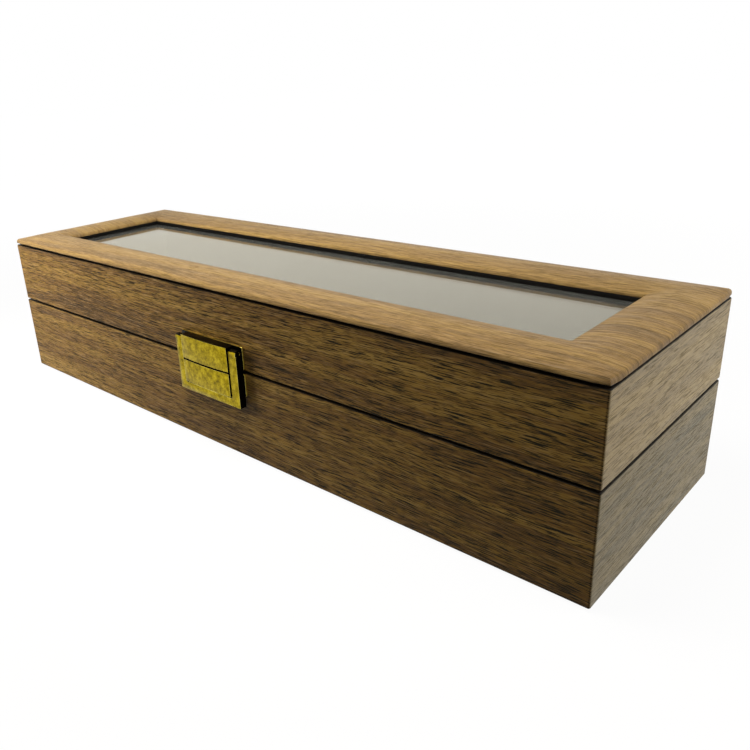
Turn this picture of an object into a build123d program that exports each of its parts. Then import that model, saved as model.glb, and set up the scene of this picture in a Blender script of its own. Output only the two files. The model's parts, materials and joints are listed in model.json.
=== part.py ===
from build123d import *
import os
from math import cos, radians, sin

# Pocket watch display box: a hinged case with a padded, glazed lid.
# Millimetres. X runs along the box, Y from the clasp (-Y) to the hinges (+Y), Z up.
# The origin is the centre of the underside, on the surface the box stands on.

os.makedirs("parts", exist_ok=True)

# Outside of the closed box
box_length = 360.0
box_depth = 107.5
base_height = 43.4          # underside to the top of the base rim
rim_gap = 0.8               # air between the two leather rims when shut
lid_wall_height = 32.9      # lid rim to the top of the lid wall

# Wall build-up
leather = 0.7               # thickness of the leather cloth
board = 5.3                 # wall boards
corner_radius = 0.8         # upright corners of the wrapped walls
rim_radius = 0.6            # leather edges at the rims
turn_under = 12.0           # leather turned under the base
sole = 1.0                  # felt sheet the box stands on
sole_inset = 2.5
floor_board = 3.0

# Velvet-covered cards that line the base and the lid
floor_lining = 1.2
wall_lining = 1.4
lining_drop = 0.3           # lining edges stay this far inside the rims

# Compartments
divider_count = 5
divider = 3.0
divider_height = 28.0
divider_edge_radius = 1.2
cushion_gap = 0.4           # cushion to dividers and end lining
cushion_end_gap = 0.7       # cushion to front and back lining
cushion_lift = 0.3          # cushion to floor lining
cushion_height = 24.0
cushion_side_height = 16.0  # where its sides meet the crowned top
cushion_corner_radius = 6.0

# Top panel: a thin board, foam and leather round a window
panel_groove = 1.0          # shadow groove between the lid wall and the panel
panel_overhang = 0.4
panel_board = 0.9
panel_corner_radius = 2.4
shoulder_height = 2.0       # upright outer edge of the panel
shoulder_radius = 1.8       # where that edge rolls over to the top
crown_height = 3.7          # panel underside to the highest line of the padding
lip_height = 1.9            # panel underside to the padding at the window edge
lip_radius = 1.2            # where the padding rolls down to the window
border = 23.8               # panel edge to window edge, the same all round
groove_inset = 2.0          # spacer edge behind the face of the lid wall
spacer_step = 2.0           # spacer edge behind the window edge
panel_turn_in = 7.0         # leather turned under the panel board
edging = 0.6                # black strip that lines the window edge
edging_height = 2.0         # strip top above the glass
glass = 2.0
glass_play = 0.5            # glass edge to the wall boards
glass_recess = 0.6          # glass top below the top of the lid wall

# Stop hinges on the back wall
hinge_from_end = 70.0       # hinge centre to the end of the box
hinge_width = 30.0
hinge_leaf = 0.9
hinge_leaf_height = 12.5
hinge_corner_radius = 1.5
knuckle_radius = 2.2
knuckle_count = 5
knuckle_gap = 0.25
hinge_pin_radius = 1.2
running_gap = 0.05
pin_head_radius = 1.7
pin_head = 0.8
open_angle = 95.0           # where the two stop flanges meet
stop_slack = 0.4            # degrees left between the flanges at the end
stop_reach = 5.4            # tip of a stop flange from the pin
stop_flange = 1.2
hinge_screw_count = 2
hinge_screw_pitch = 17.0
hinge_screw_height = 8.0    # screw line from the pin

# Small countersunk and pan-head screws
screw_shank_radius = 0.9
screw_head_radius = 1.7
screw_head = 0.7            # height of a pan head
screw_bite = 4.2            # shank inside the board

# Clasp: a hanger on the lid, a hasp that swings on it, a catch on the base
clasp_width = 42.2
clasp_standoff = 4.9        # front of the hasp frame from the wall
clasp_bottom = 27.8         # lower edge of the hasp above the table
clasp_sheet = 0.8
arm_width = 4.5
bar_height = 4.0
border_bevel = 1.7          # sloping outer half of the hasp border
border_bevel_drop = 0.35
arm_return = 3.8            # depth of the hasp's side walls
clasp_side_gap = 0.7        # raised plates to the arms
plate_proud = 0.5           # raised plates in front of the hasp border
plate_crown = 0.6           # bulge of the raised plates
split_gap = 0.9             # between the upper and the lower raised plate
hanger_rise = 0.7           # upper raised plate above the arms
clasp_back_plate = 0.8
back_plate_lap = 0.2        # mounting plates wider than the hasp, each side
back_plate_height = 10.8
back_plate_corner = 1.0
pivot_radius = 1.0
pivot_knuckle_radius = 1.8
pivot_head_radius = 1.2
pivot_head = 0.5
clasp_screw_height = 5.6    # screw centres from the seam
nose_radius = 1.1           # rounded ridge of the catch
nose_length = 20.0
nose_below_seam = 5.2
snap_gap = 0.2              # spring lip to the ridge
spring_sheet = 0.4
spring_width = 16.0
spring_below_nose = 2.0
flange_lap = 3.2            # lower plate's tongue behind the hasp bar

# Heights and outlines that follow from the sizes above
half_length = box_length / 2
half_depth = box_depth / 2
wall = leather + board
inner_length = box_length - 2 * wall
inner_depth = box_depth - 2 * wall
room_length = inner_length - 2 * wall_lining
room_depth = inner_depth - 2 * wall_lining
base_bottom_z = sole
floor_board_z = base_bottom_z + leather
floor_lining_z = floor_board_z + floor_board
room_floor_z = floor_lining_z + floor_lining
base_rim_z = base_height
lid_rim_z = base_rim_z + rim_gap
seam_z = (base_rim_z + lid_rim_z) / 2
lid_wall_top_z = lid_rim_z + lid_wall_height
glass_top_z = lid_wall_top_z - glass_recess
glass_bottom_z = glass_top_z - glass
panel_bottom_z = lid_wall_top_z + panel_groove
panel_board_z = panel_bottom_z + leather
panel_length = box_length + 2 * panel_overhang
panel_depth = box_depth + 2 * panel_overhang
window_length = panel_length - 2 * border
window_depth = panel_depth - 2 * border
compartment = (room_length - divider_count * divider) / (divider_count + 1)
compartment_pitch = compartment + divider
front_y = -half_depth
back_y = half_depth
hinge_x = half_length - hinge_from_end
hinge_y = back_y + knuckle_radius
hasp_front_y = front_y - clasp_standoff
pivot_y = hasp_front_y + pivot_knuckle_radius
back_plate_front_y = front_y - clasp_back_plate
raised_half = clasp_width / 2 - arm_width - clasp_side_gap
upper_back_plate_z = seam_z + split_gap
lower_back_plate_z = seam_z - split_gap
arm_top_z = upper_back_plate_z + back_plate_height - clasp_side_gap
pivot_z = arm_top_z - pivot_knuckle_radius
overcut = 1.0               # how far a cutting tool runs past what it cuts


def slab(length, depth, low_z, high_z, at_x=0.0, at_y=0.0):
    """Upright box between two heights."""
    middle = (low_z + high_z) / 2
    return Pos(at_x, at_y, middle) * Box(length, depth, high_z - low_z)


def rounded_slab(length, depth, radius, low_z, high_z):
    """Box between two heights with rounded upright corners."""
    outline = Pos(0, 0, low_z) * RectangleRounded(length, depth, radius)
    return extrude(outline, high_z - low_z)


def rod(radius, length, at_x, at_y, at_z):
    """Round bar along X, centred on a point."""
    return Pos(at_x, at_y, at_z) * Rot(0, 90, 0) * Cylinder(radius, length)


def save(name, shape):
    """Write one piece, or a group of like pieces, under its node name."""
    shape.label = name
    export_step(shape, os.path.join("parts", name + ".step"))


def group(pieces):
    return Compound(children=list(pieces))


# ---------------------------------------------------------------- fasteners

def screw(clamped, countersunk):
    """Screw with its seat at the origin and its head towards +Z.

    clamped is the thickness between the seat and the board that it bites into.
    A countersunk head fills the thickness of a hinge leaf.
    """
    shank_length = clamped + screw_bite
    shank = Pos(0, 0, -shank_length / 2) * Cylinder(screw_shank_radius, shank_length)
    if countersunk:
        head = Pos(0, 0, -hinge_leaf / 2) * Cone(screw_shank_radius, screw_head_radius, hinge_leaf)
    else:
        head = Pos(0, 0, screw_head / 2) * Cylinder(screw_head_radius, screw_head)
    return shank + head


def hinge_screws(rising):
    """Screws of both hinges, on the lid (rising = 1) or the base (rising = -1)."""
    seat_y = back_y + hinge_leaf
    one = Rot(-90, 0, 0) * screw(hinge_leaf + leather, countersunk=True)
    middle = (hinge_screw_count - 1) / 2
    places = [
        side * hinge_x + (index - middle) * hinge_screw_pitch
        for side in (-1, 1)
        for index in range(hinge_screw_count)
    ]
    height = seam_z + rising * hinge_screw_height
    return [Pos(x, seat_y, height) * one for x in places]


def clasp_screws(rising):
    """Two screws behind the hasp's arms, through a mounting plate."""
    one = Rot(90, 0, 0) * screw(clasp_back_plate + leather, countersunk=False)
    across = (raised_half + clasp_width / 2 - clasp_sheet) / 2
    height = seam_z + rising * clasp_screw_height
    return [Pos(side * across, back_plate_front_y, height) * one for side in (-1, 1)]


# ------------------------------------------------------- boards and leather

def long_board(low_z, high_z, side, screws):
    """Front (side = -1) or back (side = 1) board, the full length of the box."""
    centre_y = side * (half_depth - leather - board / 2)
    piece = slab(box_length - 2 * leather, board, low_z, high_z, at_y=centre_y)
    for fastener in screws:
        piece -= fastener
    return piece


def end_board(low_z, high_z, side):
    """Left or right board, standing between the two long ones."""
    centre_x = side * (half_length - leather - board / 2)
    return slab(board, inner_depth, low_z, high_z, at_x=centre_x)


def leather_wrap(low_z, high_z, screws, under_opening=None):
    """Leather round four walls, over the rims and up to the inside of the boards."""
    shell = rounded_slab(box_length, box_depth, corner_radius, low_z, high_z)
    rims = shell.edges().group_by(Axis.Z)
    shell = fillet(rims[0] + rims[-1], rim_radius)
    shell -= slab(box_length - 2 * leather, box_depth - 2 * leather, low_z + leather, high_z - leather)
    if under_opening is None:
        shell -= slab(inner_length, inner_depth, low_z - overcut, high_z + overcut)
    else:
        shell -= slab(inner_length, inner_depth, low_z + leather, high_z + overcut)
        shell -= slab(under_opening[0], under_opening[1], low_z - overcut, low_z + leather)
    for fastener in screws:
        shell -= fastener
    return shell


def lining_card(side, along_x, low_z, high_z):
    """One velvet-covered card against a wall; the long pair covers the corners."""
    if along_x:
        centre_y = side * (inner_depth - wall_lining) / 2
        return slab(inner_length, wall_lining, low_z, high_z, at_y=centre_y)
    centre_x = side * (inner_length - wall_lining) / 2
    return slab(wall_lining, room_depth, low_z, high_z, at_x=centre_x)


def divider_board(index):
    """Velvet-covered board between two compartments, with a rounded top edge."""
    centre_x = (index - (divider_count + 1) / 2) * compartment_pitch
    piece = slab(divider, room_depth, room_floor_z, room_floor_z + divider_height, at_x=centre_x)
    top = piece.edges().filter_by(Axis.Y).group_by(Axis.Z)[-1]
    return fillet(top, divider_edge_radius)


def cushion(index):
    """Soft cushion of one compartment: crowned both ways, with rounded corners."""
    centre_x = (index - (divider_count + 2) / 2) * compartment_pitch
    width = compartment - 2 * cushion_gap
    length = room_depth - 2 * cushion_end_gap
    block = rounded_slab(width, length, cushion_corner_radius, 0, cushion_height)
    across = extrude(Plane.XZ * arched_outline(width), length / 2, both=True)
    along = extrude(Plane.YZ * arched_outline(length), width / 2, both=True)
    return Pos(centre_x, 0, room_floor_z + cushion_lift) * (block & across & along)


def arched_outline(width):
    """Upright outline of a cushion: two straight sides under a shallow arch."""
    edge = width / 2
    outline = Curve() + [
        Line((-edge, 0), (-edge, cushion_side_height)),
        ThreePointArc((-edge, cushion_side_height), (0, cushion_height), (edge, cushion_side_height)),
        Line((edge, cushion_side_height), (edge, 0)),
        Line((edge, 0), (-edge, 0)),
    ]
    return make_face(outline)


# ----------------------------------------------------------------- top panel

def crowned_bar(outer, inner, heights, rolls, along_x):
    """One side of the padded frame, mitred at both ends, on the +Y or +X side.

    outer and inner are the half sizes (x, y) of the frame and of its window; heights are
    the underside, shoulder, crown and lip; rolls are the radii of the shoulder and the lip.
    """
    low_z, shoulder_z, crown_z, lip_z = heights
    across = 1 if along_x else 0
    width = outer[across] - inner[across]
    edge = outer[across]

    def at(share, height):
        place = edge - share * width
        return (0, place, height) if along_x else (place, 0, height)

    outward = (0, 1, 0) if along_x else (1, 0, 0)
    inward = (0, -1, 0) if along_x else (-1, 0, 0)
    outline = Curve() + [
        Line(at(0, low_z), at(0, shoulder_z)),
        TangentArc(at(0.5, crown_z), at(0, shoulder_z), tangent=outward),
        TangentArc(at(0.5, crown_z), at(1, lip_z), tangent=inward),
        Line(at(1, lip_z), at(1, low_z)),
        Line(at(1, low_z), at(0, low_z)),
    ]
    along = (1, 0, 0) if along_x else (0, 1, 0)
    run = outer[0] if along_x else outer[1]
    bar = extrude(make_face(outline), run, dir=along, both=True)
    for corner, radius in zip((at(0, shoulder_z), at(1, lip_z)), rolls):
        long_edges = bar.edges().filter_by(Axis(origin=(0, 0, 0), direction=along))
        bar = fillet(long_edges.sort_by_distance(corner)[0], radius)
    if along_x:
        corners = [(-outer[0], outer[1]), (outer[0], outer[1]), (inner[0], inner[1]), (-inner[0], inner[1])]
    else:
        corners = [(outer[0], -outer[1]), (outer[0], outer[1]), (inner[0], inner[1]), (inner[0], -inner[1])]
    mitre = extrude(Pos(0, 0, low_z - overcut) * make_face(Polyline(*corners, close=True)),
                    crown_z - low_z + 2 * overcut)
    return bar & mitre


def padded_ring(skin, low_z):
    """Crowned frame round the window, drawn in by a skin thickness on every side."""
    outer = (panel_length / 2 - skin, panel_depth / 2 - skin)
    inner = (window_length / 2 + skin, window_depth / 2 + skin)
    crown_z = panel_bottom_z + crown_height - skin
    heights = (
        low_z,
        panel_bottom_z + shoulder_height - skin / 2,
        crown_z,
        panel_bottom_z + lip_height - skin,
    )
    rolls = (shoulder_radius - skin, lip_radius - skin)
    ring = None
    for along_x in (True, False):
        bar = crowned_bar(outer, inner, heights, rolls, along_x)
        opposite = mirror(bar, about=Plane.XZ if along_x else Plane.YZ)
        ring = bar + opposite if ring is None else ring + bar + opposite
    low, high = low_z - overcut, crown_z + overcut
    waste = slab(panel_length + overcut, panel_depth + overcut, low, high)
    waste -= rounded_slab(2 * outer[0], 2 * outer[1], panel_corner_radius - skin, low, high)
    return ring - waste


def frame_slab(outer_size, inner_size, low_z, high_z):
    """Flat rectangular ring between two heights."""
    plate = slab(outer_size[0], outer_size[1], low_z, high_z)
    return plate - slab(inner_size[0], inner_size[1], low_z - overcut, high_z + overcut)


def top_panel():
    """Board, padding and leather of the top frame."""
    filling = padded_ring(leather, panel_board_z)
    board_layer = slab(panel_length, panel_depth, panel_board_z - overcut, panel_board_z + panel_board)
    board_ring = filling & board_layer
    padding = filling - board_layer
    cover = padded_ring(0.0, panel_bottom_z) - filling
    bare = frame_slab(
        (panel_length - 2 * panel_turn_in, panel_depth - 2 * panel_turn_in),
        (window_length + 2 * panel_turn_in, window_depth + 2 * panel_turn_in),
        panel_bottom_z - overcut,
        panel_board_z,
    )
    return board_ring, padding, cover - bare


# -------------------------------------------------------------------- hinges

def knuckle_spans(lid_side):
    """(centre, length) along X of the knuckles on one leaf."""
    pitch = hinge_width / knuckle_count
    wanted = 1 if lid_side else 0
    return [
        (-hinge_width / 2 + (index + 0.5) * pitch, pitch - knuckle_gap)
        for index in range(knuckle_count)
        if index % 2 == wanted
    ]


def stop_rib(lid_side):
    """Flange beyond the knuckles whose face lies on a plane through the pin."""
    half_travel = (open_angle + stop_slack) / 2
    turn = radians(90 - half_travel if lid_side else 90 + half_travel)
    outward = (sin(turn), cos(turn))
    behind = (-cos(turn), sin(turn)) if lid_side else (cos(turn), -sin(turn))
    near = (knuckle_radius + hinge_pin_radius) / 2

    def at(reach, depth):
        return (0, outward[0] * reach + behind[0] * depth, outward[1] * reach + behind[1] * depth)

    corners = [at(near, 0), at(stop_reach, 0), at(stop_reach, stop_flange), at(near, stop_flange)]
    face = make_face(Polyline(*corners, close=True))
    return extrude(face, hinge_width / 2 - knuckle_gap, dir=(1, 0, 0), both=True)


def hinge_half(lid_side):
    """One leaf with its knuckles and stop flange; pin along X through the origin."""
    rising = 1 if lid_side else -1
    leaf_y = -knuckle_radius + hinge_leaf / 2
    plate = Pos(0, leaf_y, rising * hinge_leaf_height / 2) * Box(
        hinge_width, hinge_leaf, hinge_leaf_height
    )
    far_corners = plate.edges().filter_by(Axis.Y).sort_by(Axis.Z)
    far_corners = far_corners[-2:] if lid_side else far_corners[:2]
    leaf = fillet(far_corners, hinge_corner_radius) + stop_rib(lid_side)
    clearance = knuckle_radius + knuckle_gap
    for centre, length in knuckle_spans(not lid_side):
        leaf -= rod(clearance, length + 2 * knuckle_gap, centre, 0, 0)
        notch = Pos(centre, leaf_y, 0) * Box(length + 2 * knuckle_gap, 2 * hinge_leaf, 2 * clearance)
        leaf -= notch
    for centre, length in knuckle_spans(lid_side):
        leaf += rod(knuckle_radius, length, centre, 0, 0)
    bore = hinge_pin_radius + (running_gap if lid_side else 0)
    leaf -= rod(bore, hinge_width + 2 * overcut, 0, 0, 0)
    return leaf


def hinge_pin():
    """Pin with a flat head at each end, tight in the base leaf's knuckles."""
    pin = rod(hinge_pin_radius, hinge_width, 0, 0, 0)
    for side in (-1, 1):
        pin += rod(pin_head_radius, pin_head, side * (hinge_width + pin_head) / 2, 0, 0)
    return pin


# --------------------------------------------------------------------- clasp

def raised_section(rear_y):
    """Open U seen from above: a bulging front and two side walls that reach rear_y."""
    edge_y = hasp_front_y - plate_proud
    reach = raised_half
    inner = raised_half - clasp_sheet
    outside = Curve() + [
        Line((-reach, rear_y), (-reach, edge_y)),
        ThreePointArc((-reach, edge_y), (0, edge_y - plate_crown), (reach, edge_y)),
        Line((reach, edge_y), (reach, rear_y)),
        Line((reach, rear_y), (-reach, rear_y)),
    ]
    hollow_y = edge_y + clasp_sheet
    inside = Curve() + [
        Line((-inner, rear_y + overcut), (-inner, hollow_y)),
        ThreePointArc((-inner, hollow_y), (0, hollow_y - plate_crown), (inner, hollow_y)),
        Line((inner, hollow_y), (inner, rear_y + overcut)),
        Line((inner, rear_y + overcut), (-inner, rear_y + overcut)),
    ]
    return make_face(outside) - make_face(inside)


def mounting_plate(low_z, high_z, screws):
    """Flat back plate of the hanger or the catch."""
    width = clasp_width + 2 * back_plate_lap
    middle = (low_z + high_z) / 2
    plate = Pos(0, front_y - clasp_back_plate / 2, middle) * Box(
        width, clasp_back_plate, high_z - low_z
    )
    plate = fillet(plate.edges().filter_by(Axis.Y), back_plate_corner)
    for fastener in screws:
        plate -= fastener
    return plate


def hanger_cover():
    """Upper raised plate, closed on top, with the two pivot pins in its side walls."""
    low_z = seam_z + split_gap / 2
    high_z = arm_top_z + hanger_rise
    section = raised_section(back_plate_front_y)
    cover = extrude(Pos(0, 0, low_z) * section, high_z - low_z)
    lip_y = hasp_front_y - plate_proud
    roof_depth = back_plate_front_y - lip_y - clasp_sheet / 2
    cover += slab(2 * (raised_half - clasp_sheet / 2), roof_depth, high_z - clasp_sheet, high_z,
                  at_y=back_plate_front_y - roof_depth / 2)
    return cover - rod(pivot_radius, clasp_width, 0, pivot_y, pivot_z)


def pivot_pins():
    """Two headed pins, tight in the hanger, on which the hasp turns."""
    tip = clasp_width / 2 - clasp_side_gap / 2
    seat = raised_half - clasp_sheet
    pins = []
    for side in (-1, 1):
        pin = rod(pivot_radius, tip - seat, side * (tip + seat) / 2, pivot_y, pivot_z)
        head = rod(pivot_head_radius, pivot_head, side * (seat - pivot_head / 2), pivot_y, pivot_z)
        pins.append(pin + head)
    return pins


def hasp_frame():
    """U of sheet metal: bevelled border, side walls and two rolled knuckles."""
    half = clasp_width / 2
    clear = half - arm_width
    bar_top_z = clasp_bottom + bar_height
    depth = clasp_sheet
    middle_y = hasp_front_y + depth / 2
    height = pivot_z - clasp_bottom
    plate = Pos(0, middle_y, clasp_bottom + height / 2) * Box(clasp_width, depth, height)
    front = plate.faces().sort_by(Axis.Y)[0]
    border = front.edges().sort_by(Axis.Z)[:-1]
    plate = chamfer(border, border_bevel, border_bevel_drop, reference=front)
    plate -= slab(2 * clear, 4 * depth, bar_top_z, pivot_z + overcut, at_y=middle_y)
    for side in (-1, 1):
        wall_x = side * (half - clasp_sheet / 2)
        wall_y = hasp_front_y + border_bevel_drop + (arm_return - border_bevel_drop) / 2
        plate += slab(clasp_sheet, arm_return - border_bevel_drop, clasp_bottom, pivot_z, wall_x, wall_y)
        gusset_x = side * (half - (arm_width - clasp_side_gap) / 2)
        gusset_y = hasp_front_y + depth / 2 + (arm_return - depth / 2) / 2
        plate += slab(
            arm_width - clasp_side_gap,
            arm_return - depth / 2,
            clasp_bottom,
            clasp_bottom + clasp_sheet,
            gusset_x,
            gusset_y,
        )
        plate += rod(pivot_knuckle_radius, arm_width, side * (half - arm_width / 2), pivot_y, pivot_z)
    return plate - rod(pivot_radius + running_gap, clasp_width + overcut, 0, pivot_y, pivot_z)


def hasp_panel():
    """Lower raised plate with a floor and a tongue fixed behind the hasp's bar."""
    low_z = clasp_bottom + bar_height + clasp_side_gap
    high_z = seam_z - split_gap / 2
    rear_y = hasp_front_y + 2 * clasp_sheet
    panel = extrude(Pos(0, 0, low_z) * raised_section(rear_y), high_z - low_z)
    lip_y = hasp_front_y - plate_proud
    floor_depth = rear_y - lip_y - clasp_sheet / 2
    inner = 2 * (raised_half - clasp_sheet / 2)
    panel += slab(inner, floor_depth, low_z, low_z + clasp_sheet, at_y=rear_y - floor_depth / 2)
    tongue_y = hasp_front_y + 1.5 * clasp_sheet
    panel += slab(inner, clasp_sheet, low_z - flange_lap, low_z + clasp_sheet, at_y=tongue_y)
    return panel


def hasp_spring():
    """Bent spring strip behind the lower plate; its bulge rides over the catch."""
    foot_y = hasp_front_y + 2 * clasp_sheet
    foot_z = clasp_bottom + bar_height + clasp_side_gap - flange_lap
    nose_front_y = back_plate_front_y - nose_radius
    bulge_y = nose_front_y - snap_gap - spring_sheet
    bulge_z = seam_z - nose_below_seam - nose_radius - spring_below_nose
    tip_z = seam_z - nose_below_seam + nose_radius
    bend_z = foot_z + flange_lap
    path = [(foot_y, foot_z), (foot_y, bend_z), (bulge_y, bulge_z), (foot_y, tip_z)]
    rear = [(y + spring_sheet, z) for y, z in reversed(path)]
    corners = [(0, y, z) for y, z in path + rear]
    strip = extrude(make_face(Polyline(*corners, close=True)), spring_width / 2, dir=(1, 0, 0), both=True)
    return strip


def catch_ridge():
    """Rounded ridge of the catch, on the front of its mounting plate."""
    ridge = rod(nose_radius, nose_length, 0, back_plate_front_y, seam_z - nose_below_seam)
    behind = slab(nose_length + overcut, 2 * nose_radius, lower_back_plate_z - back_plate_height,
                  lower_back_plate_z, at_y=back_plate_front_y + nose_radius)
    return ridge - behind


# ----------------------------------------------------------- write the pieces

def make_base():
    board_top_z = base_rim_z - leather
    back_screws = hinge_screws(-1)
    front_screws = clasp_screws(-1)
    wrap = leather_wrap(
        base_bottom_z,
        base_rim_z,
        back_screws + front_screws,
        under_opening=(box_length - 2 * turn_under, box_depth - 2 * turn_under),
    )
    save("base_wrap", wrap)
    save("base_front_board", long_board(floor_board_z, board_top_z, -1, front_screws))
    save("base_back_board", long_board(floor_board_z, board_top_z, 1, back_screws))
    save("base_left_board", end_board(floor_board_z, board_top_z, -1))
    save("base_right_board", end_board(floor_board_z, board_top_z, 1))
    save("base_floor_board", slab(inner_length, inner_depth, floor_board_z, floor_lining_z))
    save("base_sole", rounded_slab(box_length - 2 * sole_inset, box_depth - 2 * sole_inset,
                                   corner_radius, 0, sole))
    save("base_floor_lining", slab(inner_length, inner_depth, floor_lining_z, room_floor_z))
    lining_top_z = base_rim_z - lining_drop
    save("base_front_lining", lining_card(-1, True, room_floor_z, lining_top_z))
    save("base_back_lining", lining_card(1, True, room_floor_z, lining_top_z))
    save("base_left_lining", lining_card(-1, False, room_floor_z, lining_top_z))
    save("base_right_lining", lining_card(1, False, room_floor_z, lining_top_z))
    for index in range(1, divider_count + 1):
        save(f"divider_{index}", divider_board(index))
    save("hinge_base_screws", group(back_screws))
    save("clasp_catch_screws", group(front_screws))
    save("clasp_catch_plate", mounting_plate(lower_back_plate_z - back_plate_height,
                                             lower_back_plate_z, front_screws))
    save("clasp_catch_ridge", catch_ridge())


def make_cushions():
    for index in range(1, divider_count + 2):
        save(f"cushion_{index}", cushion(index))


def make_lid():
    board_low_z = lid_rim_z + leather
    board_high_z = lid_wall_top_z - leather
    back_screws = hinge_screws(1)
    front_screws = clasp_screws(1)
    save("lid_wrap", leather_wrap(lid_rim_z, lid_wall_top_z, back_screws + front_screws))
    save("lid_front_board", long_board(board_low_z, board_high_z, -1, front_screws))
    save("lid_back_board", long_board(board_low_z, board_high_z, 1, back_screws))
    save("lid_left_board", end_board(board_low_z, board_high_z, -1))
    save("lid_right_board", end_board(board_low_z, board_high_z, 1))
    lining_low_z = lid_rim_z + lining_drop
    save("lid_front_lining", lining_card(-1, True, lining_low_z, glass_bottom_z))
    save("lid_back_lining", lining_card(1, True, lining_low_z, glass_bottom_z))
    save("lid_left_lining", lining_card(-1, False, lining_low_z, glass_bottom_z))
    save("lid_right_lining", lining_card(1, False, lining_low_z, glass_bottom_z))
    save("window_glass", slab(inner_length - 2 * glass_play, inner_depth - 2 * glass_play,
                              glass_bottom_z, glass_top_z))
    spacer_outer = (box_length - 2 * groove_inset, box_depth - 2 * groove_inset)
    spacer_inner = (window_length + 2 * spacer_step, window_depth + 2 * spacer_step)
    spacer = frame_slab(spacer_outer, spacer_inner, lid_wall_top_z, panel_bottom_z)
    spacer += frame_slab((inner_length, inner_depth), spacer_inner, glass_top_z, lid_wall_top_z)
    save("top_spacer", spacer)
    board_ring, padding, cover = top_panel()
    save("top_board", board_ring)
    save("top_padding", padding)
    save("top_cover", cover)
    edging_inner = (window_length - 2 * edging, window_depth - 2 * edging)
    save("window_edging", frame_slab((window_length, window_depth), edging_inner,
                                     glass_top_z, glass_top_z + edging_height))
    save("hinge_lid_screws", group(back_screws))
    save("clasp_hanger_screws", group(front_screws))
    save("clasp_hanger_plate", mounting_plate(upper_back_plate_z,
                                              upper_back_plate_z + back_plate_height, front_screws))
    save("clasp_hanger_cover", hanger_cover())
    save("clasp_pivot_pins", group(pivot_pins()))


def make_hinges():
    base_leaf = hinge_half(lid_side=False)
    lid_leaf = hinge_half(lid_side=True)
    base_screws = hinge_screws(-1)
    lid_screws = hinge_screws(1)
    for side, word in ((-1, "left"), (1, "right")):
        place = Pos(side * hinge_x, hinge_y, seam_z)
        lower = place * base_leaf
        upper = place * lid_leaf
        for fastener in base_screws:
            lower -= fastener
        for fastener in lid_screws:
            upper -= fastener
        save(f"hinge_base_leaf_{word}", lower)
        save(f"hinge_lid_leaf_{word}", upper)
        save(f"hinge_pin_{word}", place * hinge_pin())


def make_hasp():
    save("clasp_hasp_frame", hasp_frame())
    save("clasp_hasp_panel", hasp_panel())
    save("clasp_hasp_spring", hasp_spring())


make_base()
make_cushions()
make_lid()
make_hinges()
make_hasp()
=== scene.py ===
# Pocket watch display box: the looks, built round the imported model.
# In the same frame as the model: X along the box, clasp at -Y, hinges at +Y, Z up. The pieces' dictionaries
# are in millimetres, the studio's are in metres.
import json
import math
import bpy
from mathutils import Matrix, Vector, noise


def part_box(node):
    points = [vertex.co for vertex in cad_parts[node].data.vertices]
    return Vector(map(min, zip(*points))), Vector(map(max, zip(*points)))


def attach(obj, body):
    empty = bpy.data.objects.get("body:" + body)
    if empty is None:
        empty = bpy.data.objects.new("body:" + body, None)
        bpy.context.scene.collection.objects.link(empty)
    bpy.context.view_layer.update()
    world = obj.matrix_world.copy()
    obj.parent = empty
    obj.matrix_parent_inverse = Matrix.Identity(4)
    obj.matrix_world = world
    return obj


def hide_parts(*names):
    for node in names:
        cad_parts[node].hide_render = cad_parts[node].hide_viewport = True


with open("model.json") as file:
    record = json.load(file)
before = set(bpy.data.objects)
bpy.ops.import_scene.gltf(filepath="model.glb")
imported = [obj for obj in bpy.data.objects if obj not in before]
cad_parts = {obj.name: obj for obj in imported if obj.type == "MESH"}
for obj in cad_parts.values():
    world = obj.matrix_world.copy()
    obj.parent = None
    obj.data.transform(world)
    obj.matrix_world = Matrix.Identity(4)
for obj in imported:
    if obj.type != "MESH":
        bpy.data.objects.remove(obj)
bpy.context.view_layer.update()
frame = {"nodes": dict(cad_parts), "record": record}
nodes = frame["nodes"]
scene = bpy.context.scene
mm = 0.001
bodyOf = {name: body for body, names in frame["record"]["behaviour"]["bodies"].items() for name in names}
slotOf = {part["node"]: part["material_slot"] for part in frame["record"]["subparts"]}
print("frame loaded:", len(nodes), "nodes")


def nodeBox(nodeName):
    # a node's low and high corners in millimetres, without the rounding noise of its mesh
    return [[round(value / mm, 3) for value in corner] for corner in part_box(nodeName)]


wallLow, wallHigh = nodeBox("base_wrap")
coverLow, coverHigh = nodeBox("top_cover")
# What the pieces share, in millimetres: the walls' size, the underside of the padded panel and, over that,
# the height at which its rolled shoulder ends
boxSize = {
    "length": wallHigh[0] - wallLow[0], "depth": wallHigh[1] - wallLow[1],
    "panelLow": coverLow[2], "shoulder": 2.0,
}


def linear(hexColour):
    # sRGB hex to the linear values that sockets take
    parts = [int(hexColour[i:i + 2], 16) / 255 for i in (1, 3, 5)]
    return tuple(p / 12.92 if p <= 0.04045 else ((p + 0.055) / 1.055) ** 2.4 for p in parts) + (1.0,)


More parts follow.
